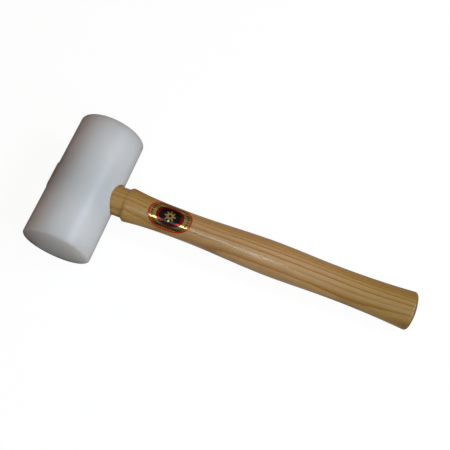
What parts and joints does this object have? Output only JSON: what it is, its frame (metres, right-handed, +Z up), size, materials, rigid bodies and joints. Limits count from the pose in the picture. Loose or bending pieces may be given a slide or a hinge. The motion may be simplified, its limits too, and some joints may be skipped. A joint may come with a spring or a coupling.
{
  "type": "plastic mallet",
  "caption": "Double-faced mallet with a solid round plastic head on a shouldered oval ash handle, its round tenon wedged in the head's eye; shapes and seats without marking hard surfaces.",
  "frame": {"origin": "on the bench under the middle of the whole mallet, as it lies on its side", "axes": "+X from the head to the butt of the handle, which slopes down 2.9 degrees until the butt touches the bench; +Y along the head's axis, out of one striking face; +Z up"},
  "size_m": [0.3866, 0.1374, 0.07],
  "materials": {
    "head_plastic": "milky white polyethylene, turned smooth, satin",
    "handle_ash": "ash, sanded and clear satin lacquered, grain along the handle",
    "wedge_hardwood": "dark hardwood, sanded end grain",
    "wedge_steel": "mild steel, ground off level",
    "label_foil": "printed gold foil sticker, orange-red rim, dark red and black medallion"
  },
  "bodies": {
    "root": {"head": "head_plastic", "handle": "handle_ash", "timber_wedge": "wedge_hardwood", "steel_wedge": "wedge_steel", "label": "label_foil"}
  },
  "joints": []
}
